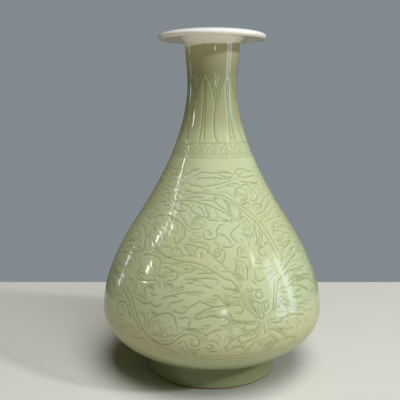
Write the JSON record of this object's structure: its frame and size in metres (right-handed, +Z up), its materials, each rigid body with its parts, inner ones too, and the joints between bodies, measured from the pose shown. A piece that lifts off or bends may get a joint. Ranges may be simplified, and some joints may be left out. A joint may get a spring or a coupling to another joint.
{
  "type": "yuhuchunping vase",
  "caption": "Pear-shaped celadon vase on a turned foot ring, with a swelling belly, a slender neck and a spread white mouth, for holding wine or a spray of flowers.",
  "frame": {"origin": "centre of the circle on which the foot ring stands", "axes": "+Z up along the vase's axis; +X to the right and -Y towards the viewer of the incised front"},
  "size_m": [0.2136, 0.2136, 0.325],
  "materials": {
    "celadon_glaze": "glossy pale green glaze, darker where it pools in the incised lines",
    "white_glaze": "soft-gloss white glaze",
    "luting_slip": "fired clay slip under the glaze"
  },
  "bodies": {
    "root": {"foot_ring": "celadon_glaze", "foot_seam": "luting_slip", "lower_body": "celadon_glaze", "belly_seam": "luting_slip", "upper_body": "celadon_glaze", "neck_seam": "luting_slip", "neck": "celadon_glaze", "mouth_seam": "luting_slip", "mouth_rim": "white_glaze"}
  },
  "joints": []
}
